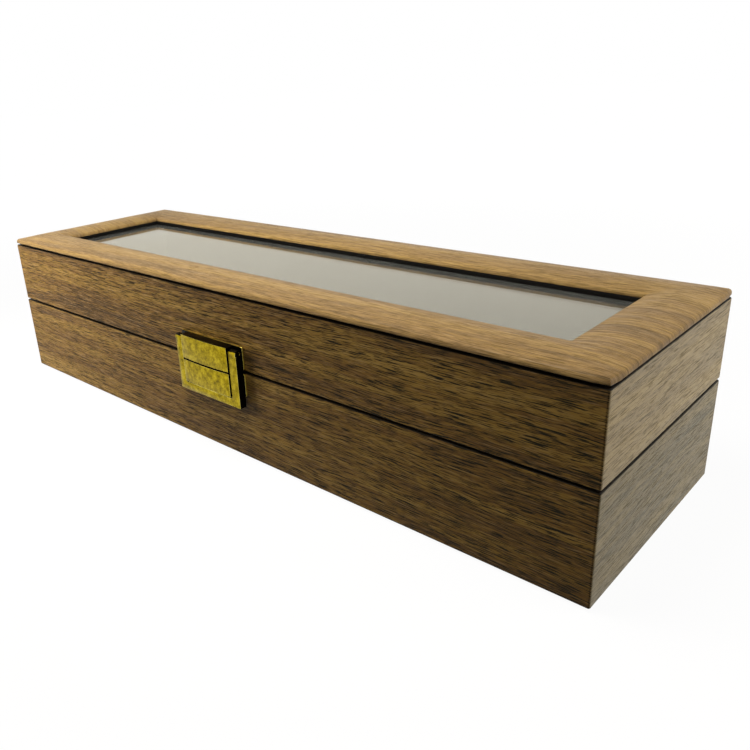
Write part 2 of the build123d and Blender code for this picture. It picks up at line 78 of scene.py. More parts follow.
def addNode(tree, kind, inputs=(), stops=(), into=None, **settings):
    # One node with its settings and links. Inputs are listed or named, a Mix node's colours as A and B.
    # Stops fill a ramp, with hex colours or greys. The result can go straight into a socket.
    node = tree.nodes.new("ShaderNode" + kind)
    for name, value in settings.items():
        setattr(node, name, value)
    for key, value in inputs.items() if isinstance(inputs, dict) else enumerate(inputs):
        socket = node.inputs[key]
        if kind == "Mix" and key in ("A", "B"):
            socket = next(s for s in node.inputs if s.name == key and s.type == "RGBA")
        if isinstance(value, bpy.types.NodeSocket):
            tree.links.new(value, socket)
        else:
            socket.default_value = value
    if stops:
        ramp = node.color_ramp
        while len(ramp.elements) < len(stops):
            ramp.elements.new(0.5)
        for element, (place, colour) in zip(ramp.elements, stops):
            element.position = place
            element.color = linear(colour) if isinstance(colour, str) else (colour, colour, colour, 1.0)
    if kind in ("TexCoord", "SeparateXYZ", "LightPath"):
        # these have several results in use
        return node.outputs
    result = next(s for s in node.outputs if s.enabled)
    if into is not None:
        tree.links.new(result, into)
    return result


def newMaterial(name, **constants):
    # a Principled material; constants go on the shader's own sockets
    material = bpy.data.materials.new(name)
    material.use_nodes = True
    tree = material.node_tree
    shader = tree.nodes["Principled BSDF"]
    for key, value in constants.items():
        shader.inputs[key.replace("_", " ")].default_value = value
    return material, tree, shader


def millimetres(tree):
    # object coordinates in millimetres
    place = addNode(tree, "TexCoord")
    return addNode(tree, "VectorMath", {0: place["Object"], "Scale": 1 / mm}, operation="SCALE")


walnut = {
    # place on the scale of tones, from 0 to 1, and colour there
    "tones": ((0.38, "#594327"), (0.47, "#77592b"), (0.53, "#8d6f34"), (0.63, "#a58646")),
    # the print's pores and slivers, then the near black of the painted shade on rims and hems
    "pore": "#1a1606", "sliver": "#a98f66", "paintedShade": "#0c0a07",
    # each pattern of the grain: length and width in millimetres, detail, roughness and seed of its noise
    "bands": (260.0, 9.0, 2.0, 0.5, 0.0),      # broad light and dark bands
    "streaks": (44.0, 2.0, 3.0, 0.6, 1.7),     # growth lines inside them
    "fibres": (10.0, 0.42, 2.0, 0.6, 7.9),     # fine lines between the pores
    "dashes": (9.0, 0.38, 2.0, 0.55, 5.3),     # open pores, drawn a little coarse so that they show
    "ticks": (5.0, 0.28, 1.0, 0.5, 9.1),       # short pores between them
    "drift": (120.0, 26.0, 2.0, 0.5, 3.1),     # moves all of them off a straight line
    "wander": 7.0,                             # by this much
    "toneParts": {"streaks": 0.32, "bands": 0.40, "fibres": 0.28},
    # how strong slivers and pores are, at two values of their noise
    "sliverRamp": ((0.33, 0.45), (0.42, 0.0)),
    "dashRamp": ((0.54, 0.0), (0.60, 1.0)),
    "tickRamp": ((0.56, 0.0), (0.63, 0.75)),
    "paintedFalloff": (0.84, 1.15),                     # strength of the pores at the left and at the right: painted shade for the light falling off to the right
    "endPores": 0.42,                          # how dark the pores are on the ends, where the painted sheen washes them out
    "endFacing": (0.6, 0.8),                   # how far a face is turned where an end starts and is full
    "rimFacing": (0.22, 0.55),                 # the same for the painted shade on a rolled rim
    "paintedShadeShare": 0.97,                           # how much of the print the painted shade covers
    "film": 0.34, "poreRougher": 0.15,         # roughness
    "raised": 0.4, "bump": 0.6, "emboss": 0.12 * mm,
}


def grainNoise(tree, along, across, pattern, seed):
    # noise drawn out along the grain
    length, width, detail, roughness, ownSeed = walnut[pattern]
    vector = addNode(tree, "CombineXYZ", [
        addNode(tree, "Math", [along, 1 / length], operation="MULTIPLY"),
        addNode(tree, "Math", [across, 1 / width], operation="MULTIPLY"), seed + ownSeed])
    return addNode(tree, "TexNoise", {
        "Vector": vector, "Scale": 1.0, "Detail": detail, "Roughness": roughness})


def placeOnSheet(tree, wrapped, x, y, z, facing):
    # where a point of the cloth lies along and across the grain
    if not wrapped:
        # one sheet over the whole top, which turns down over the long edges
        edge = boxSize["panelLow"] + boxSize["shoulder"]
        under = addNode(tree, "Math", [edge, z], operation="SUBTRACT")
        drop = addNode(tree, "Math", [under, 0.0], operation="MAXIMUM")
        return x, addNode(tree, "Math", [facing["Y"], drop, y], operation="MULTIPLY_ADD")
    # a strip that runs round the four walls and turns over the rims
    along = addNode(tree, "Math", [x, y], operation="ADD")
    inwards = []
    for value, size in ((x, boxSize["length"]), (y, boxSize["depth"])):
        away = addNode(tree, "Math", [value], operation="ABSOLUTE")
        inwards.append(addNode(tree, "Math", [size / 2, away], operation="SUBTRACT"))
    turned = addNode(tree, "Math", inwards, operation="MINIMUM")
    return along, addNode(tree, "Math", [z, turned], operation="ADD")


def grainPatterns(tree, along, across, seed):
    # all patterns by name, led off the straight together
    drift = grainNoise(tree, along, across, "drift", seed)
    drift = addNode(tree, "Math", [drift, 0.5], operation="SUBTRACT")
    across = addNode(tree, "Math", [drift, walnut["wander"], across], operation="MULTIPLY_ADD")
    return {pattern: grainNoise(tree, along, across, pattern, seed)
            for pattern in ("bands", "streaks", "fibres", "dashes", "ticks")}


def printedWood(tree, grain):
    # brown by the sum of the broad patterns, with pale slivers between the open pores
    tone = 0.0
    for pattern, part in walnut["toneParts"].items():
        tone = addNode(tree, "Math", [grain[pattern], part, tone], operation="MULTIPLY_ADD")
    wood = addNode(tree, "ValToRGB", [tone], walnut["tones"])
    sliver = addNode(tree, "ValToRGB", [grain["dashes"]], walnut["sliverRamp"])
    return addNode(tree, "Mix", {"A": wood, "B": linear(walnut["sliver"]), "Factor": sliver},
                   data_type="RGBA")


def porePits(tree, grain, x):
    # long and short pores, stronger towards the right: painted shade where the light falls off
    dash = addNode(tree, "ValToRGB", [grain["dashes"]], walnut["dashRamp"])
    tick = addNode(tree, "ValToRGB", [grain["ticks"]], walnut["tickRamp"])
    paintedFalloff = addNode(tree, "MapRange", {
        "Value": x, "From Min": -boxSize["length"] / 2, "From Max": boxSize["length"] / 2,
        "To Min": walnut["paintedFalloff"][0], "To Max": walnut["paintedFalloff"][1]})
    pits = addNode(tree, "Math", [dash, tick], operation="MAXIMUM")
    return addNode(tree, "Math", [pits, paintedFalloff], operation="MULTIPLY")


def rimPaintedShade(tree, wrapped, facing):
    # painted shade: the turned edges are painted near black, so the seam and the groove read as black lines:
    # on a wrapped wall what looks up or down, on the top sheet only what looks down
    if wrapped:
        turned = addNode(tree, "Math", [facing["Z"]], operation="ABSOLUTE")
    else:
        turned = addNode(tree, "Math", [facing["Z"], -1.0], operation="MULTIPLY")
    return addNode(tree, "MapRange", {
        "Value": turned, "From Min": walnut["rimFacing"][0], "From Max": walnut["rimFacing"][1],
        "To Max": walnut["paintedShadeShare"]})


def walnutCloth(name, wrapped, seed, pores, sheenTone, sheenShare):
    # PU leathercloth, printed with walnut and embossed along the grain: satin, olive brown, dense dark pores
    material, tree, shader = newMaterial(name, IOR=1.46, Specular_IOR_Level=0.08)
    x, y, z = addNode(tree, "SeparateXYZ", [millimetres(tree)])
    facing = addNode(tree, "SeparateXYZ", [addNode(tree, "TexCoord")["Normal"]])
    along, across = placeOnSheet(tree, wrapped, x, y, z, facing)
    grain = grainPatterns(tree, along, across, seed)
    wood = printedWood(tree, grain)
    pits = porePits(tree, grain, x)
    # painted shade on the rims and seams, and under the top's hem
    paintedShade = rimPaintedShade(tree, wrapped, facing)
    if wrapped:
        # painted sheen: the ends are mixed towards a pale tone, with weaker pores, for the white studio they
        # mirror at a grazing angle
        sideways = addNode(tree, "Math", [facing["X"]], operation="ABSOLUTE")
        atEnd = addNode(tree, "MapRange", {
            "Value": sideways, "From Min": walnut["endFacing"][0], "From Max": walnut["endFacing"][1]})
        sheenShare = addNode(tree, "Math", [atEnd, sheenShare], operation="MULTIPLY")
        pores = addNode(tree, "Math", [atEnd, walnut["endPores"] - pores, pores], operation="MULTIPLY_ADD")
    dark = addNode(tree, "Math", [pits, pores], operation="MULTIPLY")
    # painted sheen: the pale tone over the ends, and evenly over the top
    wood = addNode(tree, "Mix", {"A": wood, "B": linear(sheenTone), "Factor": sheenShare}, data_type="RGBA")
    wood = addNode(tree, "Mix", {"A": wood, "B": linear(walnut["pore"]), "Factor": dark}, data_type="RGBA")
    # the painted shade goes over all of it
    addNode(tree, "Mix", {"A": wood, "B": linear(walnut["paintedShade"]), "Factor": paintedShade}, data_type="RGBA",
            into=shader.inputs["Base Color"])
    addNode(tree, "Math", [pits, walnut["poreRougher"], walnut["film"]], operation="MULTIPLY_ADD",
            into=shader.inputs["Roughness"])
    sunk = addNode(tree, "Math", [pits, -1.0], operation="MULTIPLY")
    relief = addNode(tree, "Math", [grain["streaks"], walnut["raised"], sunk], operation="MULTIPLY_ADD")
    addNode(tree, "Bump", {"Height": relief, "Strength": walnut["bump"], "Distance": walnut["emboss"]},
            into=shader.inputs["Normal"])
    return material


pileLook = {
    "tufts": {"Scale": 1 / 0.45, "Detail": 2.0, "Roughness": 0.7},       # 0.45 mm, coarser than real pile
    "brushed": {"Scale": 1 / 14.0, "Detail": 2.0, "Roughness": 0.5},     # patches of 14 mm that lie one way
    "lighter": 2.4, "lift": 0.004,             # a brushed tuft's colour: the pile's times this, plus this
    "bump": 0.6, "nap": 0.25 * mm,
}


def velvet(name, hexColour, sheen):
    # rayon velvet: black pile that lights up only where it is seen edge on
    material, tree, shader = newMaterial(name, Roughness=0.9, IOR=1.35, Specular_IOR_Level=0.15,
                                         Sheen_Weight=sheen, Sheen_Roughness=0.55)
    vector = millimetres(tree)
    tufts = addNode(tree, "TexNoise", {"Vector": vector, **pileLook["tufts"]})
    brushed = addNode(tree, "TexNoise", {"Vector": vector, **pileLook["brushed"]})
    lit = addNode(tree, "Math", [tufts, brushed], operation="MULTIPLY")
    dark = linear(hexColour)
    soft = tuple(min(1.0, c * pileLook["lighter"] + pileLook["lift"]) for c in dark[:3]) + (1.0,)
    addNode(tree, "Mix", {"A": dark, "B": soft, "Factor": lit}, data_type="RGBA",
            into=shader.inputs["Base Color"])
    addNode(tree, "Bump", {"Height": tufts, "Strength": pileLook["bump"], "Distance": pileLook["nap"]},
            into=shader.inputs["Normal"])
    return material


fibreLook = {"places": (0.35, 0.65), "detail": 4.0, "fineness": 0.7, "bump": 0.6}
foamLook = {
    "cell": 0.9, "bump": 0.8, "pit": 0.4 * mm,
    "tones": ((0.1, "#8f8a72"), (0.6, "#d8d3bd")),     # painted shade: dark in the sunk middle of a cell, pale at its rim
}


def fibreSurface(name, first, second, speck, nap, roughness=0.9):
    # pressed or felted fibre: matt, two close tones, a short random nap. Speck and nap are in millimetres.
    material, tree, shader = newMaterial(name, Roughness=roughness, IOR=1.45, Specular_IOR_Level=0.08)
    fibres = addNode(tree, "TexNoise", {
        "Vector": millimetres(tree), "Scale": 1 / speck,
        "Detail": fibreLook["detail"], "Roughness": fibreLook["fineness"]})
    addNode(tree, "ValToRGB", [fibres], list(zip(fibreLook["places"], (first, second))),
            into=shader.inputs["Base Color"])
    addNode(tree, "Bump", {"Height": fibres, "Strength": fibreLook["bump"], "Distance": nap * mm},
            into=shader.inputs["Normal"])
    return material


def foamRubber(name):
    # open-cell polyurethane foam: pale, matt, pricked with small cells
    material, tree, shader = newMaterial(name, Roughness=0.95, IOR=1.4)
    cells = addNode(tree, "TexVoronoi", {"Vector": millimetres(tree), "Scale": 1 / foamLook["cell"]},
                    feature="F1")
    # painted shade in the sunk middle of each cell
    addNode(tree, "ValToRGB", [cells], foamLook["tones"], into=shader.inputs["Base Color"])
    addNode(tree, "Bump", {"Height": cells, "Strength": foamLook["bump"], "Distance": foamLook["pit"]},
            into=shader.inputs["Normal"])
    return material


def clearGlass(name):
    # float glass: clear and faintly green, and what little it holds back looks like a film of dust
    material, _, _ = newMaterial(name, Base_Color=linear("#f3f8f4"), IOR=1.52, Roughness=0.0,
                                 Transmission_Weight=0.95)
    return material


brassTones = {
    # antique brass: plated zinc, blackened and rubbed back, so faces are mottled olive gold
    "face": ("#6e5f06", "#9f8a0a", "#c4ae22"),
    # worn edges, where the blackening has gone
    "edge": ("#c9b84a", "#e8d86c", "#f4e88a"),
    # sides, tops, hollows and the plates behind the hasp: blackened patina and painted shade, by the way a
    # face looks
    "side": ("#060502", "#0d0b05", "#1c180a"),
    # hinges: brass plate on steel, only a little dulled
    "hinge": ("#8a7433", "#a8914a", "#c0aa63"),
}
patina = {
    "places": (0.36, 0.5, 0.64),               # where its three tones lie on the scale from 0 to 1
    "blotchPart": 0.65, "gritPart": 0.35,
    "duller": 0.1, "polish": -0.2,             # roughness in the dark, and what the light tones take off it
    "bump": 0.25, "pitting": 0.05 * mm,
}


def platedMetal(name, tones, roughness, blotch=2.6, grit=0.35):
    # plated metal: mottled by blotches and grit, in millimetres, and smoother where it is lighter
    material, tree, shader = newMaterial(name, Metallic=1.0)
    vector = millimetres(tree)
    large = addNode(tree, "TexNoise", {
        "Vector": vector, "Scale": 1 / blotch, "Detail": 3.0, "Roughness": 0.6})
    small = addNode(tree, "TexNoise", {
        "Vector": vector, "Scale": 1 / grit, "Detail": 2.0, "Roughness": 0.6})
    tone = addNode(tree, "Math", [small, patina["gritPart"]], operation="MULTIPLY")
    tone = addNode(tree, "Math", [large, patina["blotchPart"], tone], operation="MULTIPLY_ADD")
    addNode(tree, "ValToRGB", [tone], list(zip(patina["places"], tones)), into=shader.inputs["Base Color"])
    addNode(tree, "Math", [tone, patina["polish"], roughness + patina["duller"]], operation="MULTIPLY_ADD",
            into=shader.inputs["Roughness"])
    addNode(tree, "Bump", {"Height": small, "Strength": patina["bump"], "Distance": patina["pitting"]},
            into=shader.inputs["Normal"])
    return material


materials = {
    # the pale tones are painted sheen, the white studio seen at a grazing angle
    "wallCloth": walnutCloth("walnutLeatherclothBase", wrapped=True, seed=0.0, pores=0.95,
                             # the base's tone is darker and greener than the lid's: painted shade
                             sheenTone="#868b79", sheenShare=0.5),
    "lidCloth": walnutCloth("walnutLeatherclothLid", wrapped=True, seed=11.0, pores=0.95,
                            sheenTone="#b0a88a", sheenShare=0.5),
    "topCloth": walnutCloth("walnutLeatherclothTop", wrapped=False, seed=23.0, pores=0.42,
                            sheenTone="#b8a27a", sheenShare=0.24),
    "velvet": velvet("blackRayonVelvet", "#0a090a", sheen=0.1),
    "cushionVelvet": velvet("cushionRayonVelvet", "#0b0a0b", sheen=0.16),
    "felt": fibreSurface("blackNeedleFelt", "#0c0c0c", "#1d1c1b", speck=0.5, nap=0.2),
    "card": fibreSurface("blackDyedCard", "#0a0a09", "#121110", speck=0.3, nap=0.05, roughness=0.8),
    "board": fibreSurface("mediumDensityFibreboard", "#7d6544", "#9b8260", speck=0.6, nap=0.08),
    "foam": foamRubber("paleUpholsteryFoam"),
    "glass": clearGlass("clearFloatGlass"),
    "brassFace": platedMetal("antiqueBrassFace", brassTones["face"], roughness=0.46),
    "brassEdge": platedMetal("antiqueBrassRubbedEdge", brassTones["edge"], roughness=0.3),
    # patina and painted shade in one near-black metal
    "brassPatinaAndShade": platedMetal("antiqueBrassPatinaAndPaintedShade", brassTones["side"], roughness=0.45),
    "hingeBrass": platedMetal("platedHingeBrass", brassTones["hinge"], roughness=0.32, blotch=6.0, grit=0.3),
}
slotMaterial = {
    "wall_leather": "wallCloth", "top_leather": "topCloth", "board": "board", "velvet": "velvet",
    "cushion_velvet": "cushionVelvet", "felt": "felt", "glass": "glass", "foam": "foam",
    "black_card": "card", "hinge_brass": "hingeBrass", "antique_brass": "brassFace",
}
print("materials made:", len(materials))


def paint(piece, *keys):
    piece.data.materials.clear()
    for key in keys:
        piece.data.materials.append(materials[key])


for name, node in nodes.items():
    paint(node, slotMaterial[slotOf[name]])
paint(nodes["lid_wrap"], "lidCloth")
paint(nodes["top_spacer"], "card")

meshing = {
    "same": 0.002, "flat": 1.0,                # points (mm) and faces (degrees) of a node that are one
    "sharp": 38.0,                             # degrees at an edge that is eased
    "smooth": 35.0, "metalSmooth": 30.0,       # degrees up to which shading is smooth
}


def focus(piece):
    # operators act on all that is selected, so only this piece is
    bpy.ops.object.select_all(action="DESELECT")
    piece.select_set(True)
    bpy.context.view_layer.objects.active = piece


def edit(piece, mode="VERT"):
    focus(piece)
    bpy.ops.object.mode_set(mode="EDIT")
    bpy.ops.mesh.select_mode(type=mode)
    bpy.ops.mesh.select_all(action="SELECT")


def leaveEdit():
    bpy.ops.object.mode_set(mode="OBJECT")


def smoothed(piece, degrees):
    focus(piece)
    bpy.ops.object.shade_smooth_by_angle(angle=math.radians(degrees))


def finishPiece(piece, name, body, replaced):
    # named, riding on its body, standing for its nodes
    piece.name = name
    piece.data.name = name
    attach(piece, body)
    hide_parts(*replaced)


def meshFromNode(nodeName):
    # a merged copy of a node's triangles, with flat faces made whole again
    piece = bpy.data.objects.new("copy", nodes[nodeName].data.copy())
    scene.collection.objects.link(piece)
    edit(piece)
    bpy.ops.mesh.customdata_custom_splitnormals_clear()
    bpy.ops.mesh.remove_doubles(threshold=meshing["same"] * mm)
    bpy.ops.mesh.dissolve_limited(angle_limit=math.radians(meshing["flat"]))
    leaveEdit()
    return piece


edgeRadius = {
    # millimetres taken off the sharp edges of each cut, folded or pressed piece
    "base_floor_lining": 0.3, "base_front_lining": 0.5, "base_back_lining": 0.5, "base_left_lining": 0.5,
    "base_right_lining": 0.5, "lid_front_lining": 0.5, "lid_back_lining": 0.5, "lid_left_lining": 0.5,
    "lid_right_lining": 0.5, "base_sole": 0.35, "window_edging": 0.12,
    "hinge_base_leaf_left": 0.15, "hinge_base_leaf_right": 0.15, "hinge_lid_leaf_left": 0.15,
    "hinge_lid_leaf_right": 0.15, "hinge_pin_left": 0.2, "hinge_pin_right": 0.2,
}
edgeRadius.update({f"divider_{i}": 0.5 for i in range(1, 6)})


def easeEdges(nodeName, radius, keys, rimSlot=-1):
    # painted first, because the bevel takes only a slot that is already there
    piece = meshFromNode(nodeName)
    paint(piece, *keys)
    edit(piece, "EDGE")
    bpy.ops.mesh.select_all(action="DESELECT")
    bpy.ops.mesh.edges_select_sharp(sharpness=math.radians(meshing["sharp"]))
    bpy.ops.mesh.bevel(offset=radius * mm, segments=2, profile=0.5, material=rimSlot, clamp_overlap=True)
    leaveEdit()
    return piece


for name, radius in edgeRadius.items():
    piece = easeEdges(name, radius, [slotMaterial[slotOf[name]]])
    smoothed(piece, meshing["smooth"])
    finishPiece(piece, name + ".eased", bodyOf[name], [name])
print("edges eased:", len(edgeRadius))

# Antique brass clasp: pressed plates, blackened all over, then rubbed bright on the front; what looks
# sideways, back or up is painted black as shade
claspEdge = {
    # millimetres taken off the edges of each plate
    "clasp_hanger_cover": 0.5, "clasp_hasp_panel": 0.5, "clasp_hasp_frame": 0.4,
    "clasp_hanger_plate": 0.15, "clasp_catch_plate": 0.15, "clasp_catch_ridge": 0.1,
    "clasp_hasp_spring": 0.06, "clasp_pivot_pins": 0.1,
}
brassKeys = ("brassFace", "brassEdge", "brassPatinaAndShade")
faceSlot, edgeSlot, patinaShadeSlot = range(3)
# limits on a face's normal, for the painted shade and the rubbed edges: Y of a mounting plate's flat sides,
# Y of what looks sideways or back, Z of what looks up, and Y of what looks straight out
wornOrShaded = {"flat": 0.5, "behind": -0.35, "above": 0.6, "front": -0.95}


def brassPiece(name, radius):
    piece = easeEdges(name, radius, brassKeys, edgeSlot)
    mounting = name in ("clasp_hanger_plate", "clasp_catch_plate")
    for face in piece.data.polygons:
        if mounting:
            # painted shade: behind the hasp the plate's faces stay black as shade; only the cut edge is
            # rubbed
            face.material_index = patinaShadeSlot if abs(face.normal.y) > wornOrShaded["flat"] else edgeSlot
        # painted shade and patina: what looks sideways, back or up goes black
        elif face.normal.y > wornOrShaded["behind"] or face.normal.z > wornOrShaded["above"]:
            face.material_index = patinaShadeSlot
        elif face.material_index == edgeSlot and face.normal.y < wornOrShaded["front"]:
            face.material_index = faceSlot
    smoothed(piece, meshing["metalSmooth"])
    finishPiece(piece, name + ".plated", bodyOf[name], [name])


for name, radius in claspEdge.items():
    brassPiece(name, radius)
print("clasp plated:", len(claspEdge))

# Screws, in millimetres and degrees
screwLook = {
    "head": 1.7, "headHigh": 0.9, "panHigh": 0.7, "panRound": 0.4,
    "shank": 0.9, "long": 5.6, "point": 1.2, "pointShare": 0.15,
    "slotWide": 0.42, "slotDeep": 0.42, "slotLong": 2.1,
    "turn": 17.0, "nextTurn": 41.0,            # of the first screw's recess, and more for each next one
}
screwPlaces = {
    # node: (countersunk, 1 behind or -1 in front, space between the screws of one leaf)
    "hinge_base_screws": (True, 1, 17.0),
    "hinge_lid_screws": (True, 1, 17.0),
    "clasp_catch_screws": (False, -1, None),
    "clasp_hanger_screws": (False, -1, None),
}


def pickEnd(piece, upper, straight=0.9):
    # the flat end of an upright piece, in edit mode
    for face in piece.data.polygons:
        face.select = (face.normal.z if upper else -face.normal.z) > straight
    bpy.ops.object.mode_set(mode="EDIT")


def makeScrew(sunk):
    # head towards +Z, seat at the origin; a lathed blank with a cross recess
    top = 0.0 if sunk else screwLook["panHigh"] * mm
    middle = -screwLook["headHigh"] / 2 * mm if sunk else top / 2
    bpy.ops.object.select_all(action="DESELECT")
    bpy.ops.mesh.primitive_cylinder_add(vertices=32, radius=screwLook["head"] * mm,
                                        depth=screwLook["headHigh"] * mm, location=(0, 0, middle))
    blank = bpy.context.object
    edit(blank, "FACE")
    bpy.ops.mesh.select_all(action="DESELECT")
    leaveEdit()
    pickEnd(blank, upper=False)
    if sunk:
        share = screwLook["shank"] / screwLook["head"]
        bpy.ops.transform.resize(value=(share, share, 1))
    else:
        bpy.ops.mesh.inset(thickness=(screwLook["head"] - screwLook["shank"]) * mm)
    for length in (screwLook["long"], screwLook["point"]):
        bpy.ops.mesh.extrude_region_move(TRANSFORM_OT_translate={"value": (0, 0, -length * mm)})
    bpy.ops.transform.resize(value=(screwLook["pointShare"], screwLook["pointShare"], 1))
    leaveEdit()
    if not sunk:
        pickEnd(blank, upper=True)
        bpy.ops.mesh.bevel(offset=screwLook["panRound"] * mm, segments=4, affect="EDGES")
        leaveEdit()
    # the recess is cut with two crossed bars
    long, wide, deep = (screwLook[key] * mm for key in ("slotLong", "slotWide", "slotDeep"))
    for size in ((long, wide, 2 * deep), (wide, long, 2 * deep)):
        bpy.ops.object.select_all(action="DESELECT")
        bpy.ops.mesh.primitive_cube_add(size=1, location=(0, 0, top), scale=size)
        cutter = bpy.context.object
        focus(blank)
        cut = blank.modifiers.new("recess", "BOOLEAN")
        cut.object = cutter
        cut.solver = "EXACT"
        bpy.ops.object.modifier_apply(modifier=cut.name)
        bpy.data.objects.remove(cutter)
    return blank


def screwSeats(nodeName, sunk, outward, space):
    # where the head of each screw sits, read from the box round its node
    low, high = nodeBox(nodeName)
    edge = high[0] - screwLook["head"]
    across = (-edge, -edge + space, edge - space, edge) if space else (-edge, edge)
    face = high[1] if outward > 0 else low[1]
    seat = face if sunk else face - outward * screwLook["panHigh"]
    return [(x * mm, seat * mm, (low[2] + high[2]) / 2 * mm) for x in across]


def setScrews():
    blanks = {sunk: makeScrew(sunk) for sunk in (True, False)}
    for name, (sunk, outward, space) in screwPlaces.items():
        stand = Matrix.Rotation(math.radians(-90 * outward), 4, "X")
        copies = []
        for index, seat in enumerate(screwSeats(name, sunk, outward, space)):
            one = bpy.data.objects.new("screw", blanks[sunk].data.copy())
            scene.collection.objects.link(one)
            turn = screwLook["turn"] + screwLook["nextTurn"] * index
            spin = Matrix.Rotation(math.radians(turn), 4, "Z")
            one.data.transform(Matrix.Translation(seat) @ stand @ spin)
            copies.append(one)
        focus(copies[0])
        for one in copies:
            one.select_set(True)
        bpy.ops.object.join()
        paint(copies[0], "hingeBrass" if sunk else "brassPatinaAndShade")
        smoothed(copies[0], meshing["metalSmooth"])
        finishPiece(copies[0], name + ".cut", bodyOf[name], [name])
    for blank in blanks.values():
        bpy.data.objects.remove(blank)


setScrews()
print("screws set")

# Padded top: one sheet of cloth over foam, rolled round the outer edge and down into the window
panel = {
    # millimetres; the crown and the lip by the window are heights over the panel's underside
    "length": coverHigh[0] - coverLow[0], "depth": coverHigh[1] - coverLow[1], "border": 23.8,
    "corner": 2.4, "crown": 3.7, "roll": 1.8, "lip": 1.9, "lipRoll": 1.2, "cloth": 0.7,
    "hem": 0.35, "turnIn": 7.0,                # radius of the hem, and how far it goes back under the board
    "hemTurns": (0.5, 1.05, 1.57),             # radians
    "rings": (0.08, 0.16, 0.26, 0.4, 0.6, 1.0, 1.8, 2.8, 3.6, 3.6, 3.4, 2.6, 1.6, 0.9, 0.5, 0.35, 0.2, 0.1),
    "cell": 6.0,                               # mesh size along the sides
    "mitre": 4.0, "mitreFade": 6.0,            # how wide the ridge at a corner is eased, and from where
    "uneven": 0.16, "calm": 5.0,               # how much the foam gives, and how near a rim it stays level
    "waves": (38.0, 11.0), "waveSeed": 4.0,
    "same": 0.01, "hemSame": 0.005,            # points that are one
    "slack": 1.0, "hemSlack": 0.3,             # room for telling the window's edge from the rest
    "smooth": 40.0,                            # degrees
}
halfLength, halfDepth = panel["length"] / 2, panel["depth"] / 2
windowX, windowY = halfLength - panel["border"], halfDepth - panel["border"]


def archHeight(share, low, rolled, fromEdge):
    # one half of the padding: an arc from an edge up to the crown, with that edge rolled over
    half = panel["border"] / 2
    rise = panel["crown"] - low
    radius = (half * half + rise * rise) / (2 * rise)
    centre = panel["crown"] - radius
    slope = math.asin(half / radius)
    if fromEdge >= rolled * (1 - math.sin(slope)):
        return centre + math.sqrt(radius * radius - (half * (1 - 2 * share)) ** 2)
    start = low + rolled * (math.tan(slope) - 1 / math.cos(slope))
    return start + math.sqrt(max(0.0, rolled * rolled - (rolled - fromEdge) ** 2))


def crownHeight(fromOuter, fromInner):
    # height over the panel's underside
    share = fromOuter / max(1e-6, fromOuter + fromInner)
    if share < 0.5:
        return archHeight(share, boxSize["shoulder"], panel["roll"], fromOuter)
    return archHeight(1 - share, panel["lip"], panel["lipRoll"], fromInner)


def flatFrame():
    # a plane inset ring by ring down to the window, then cut across into cells
    bpy.ops.object.select_all(action="DESELECT")
    bpy.ops.mesh.primitive_plane_add(size=1, location=(0, 0, 0))
    sheet = bpy.context.object
    sheet.scale = (panel["length"] * mm, panel["depth"] * mm, 1)
    bpy.ops.object.transform_apply(location=False, rotation=False, scale=True)
    edit(sheet, "FACE")
    total = sum(panel["rings"])
    for ring in panel["rings"]:
        bpy.ops.mesh.inset(thickness=ring * panel["border"] / total * mm)
    bpy.ops.mesh.delete(type="FACE")
    for axis, half in enumerate((halfLength, halfDepth)):
        count = int(2 * half / panel["cell"])
        for step in range(1, count):
            point, normal = [0, 0, 0], [0, 0, 0]
            point[axis] = (-half + 2 * half * step / count) * mm
            normal[axis] = 1
            bpy.ops.mesh.select_all(action="SELECT")
            bpy.ops.mesh.bisect(plane_co=point, plane_no=normal)
    bpy.ops.mesh.select_all(action="SELECT")
    bpy.ops.mesh.remove_doubles(threshold=panel["same"] * mm)
    leaveEdit()
    return sheet


def raiseSheet(sheet):
    # from flat to the height of the padding under it
    for vertex in sheet.data.vertices:
        x, y = vertex.co.x / mm, vertex.co.y / mm
        side = (halfLength - abs(x), halfDepth - abs(y))
        near = max(0.0, 1 - abs(side[0] - side[1]) / panel["mitre"]) * panel["mitre"]
        eased = near * near / (4 * panel["mitre"]) * min(1.0, min(side) / panel["mitreFade"])
        fromOuter = max(0.0, min(side) - eased)
        fromInner = math.hypot(max(0.0, abs(x) - windowX), max(0.0, abs(y) - windowY))
        height = crownHeight(fromOuter, fromInner)
        give = min(1.0, fromOuter / panel["calm"]) * min(1.0, fromInner / panel["calm"])
        wave = noise.noise(Vector((x / panel["waves"][0], y / panel["waves"][1], panel["waveSeed"])))
        height += panel["uneven"] * give * wave
        corner = (abs(x) - halfLength + panel["corner"], abs(y) - halfDepth + panel["corner"])
        if corner[0] > 0 and corner[1] > 0:
            # the square corner is drawn in to a round one
            shrink = max(corner) / math.hypot(*corner)
            x = math.copysign(halfLength - panel["corner"] + corner[0] * shrink, x)
            y = math.copysign(halfDepth - panel["corner"] + corner[1] * shrink, y)
        vertex.co = Vector((x, y, boxSize["panelLow"] + height)) * mm


def selectOpenEdge(piece, outer):
    # the open edge round the outside, or the one round the window
    limitX, limitY = (windowX + panel["slack"]) * mm, (windowY + panel["slack"]) * mm
    counts = {}
    for face in piece.data.polygons:
        face.select = False
        for key in face.edge_keys:
            counts[key] = counts.get(key, 0) + 1
    vertices = piece.data.vertices
    for vertex in vertices:
        vertex.select = False
    for edge in piece.data.edges:
        ends = [vertices[i] for i in edge.vertices]
        inside = all(abs(v.co.x) < limitX and abs(v.co.y) < limitY for v in ends)
        edge.select = counts.get(edge.key, 0) == 1 and inside != outer
        if edge.select:
            for vertex in ends:
                vertex.select = True


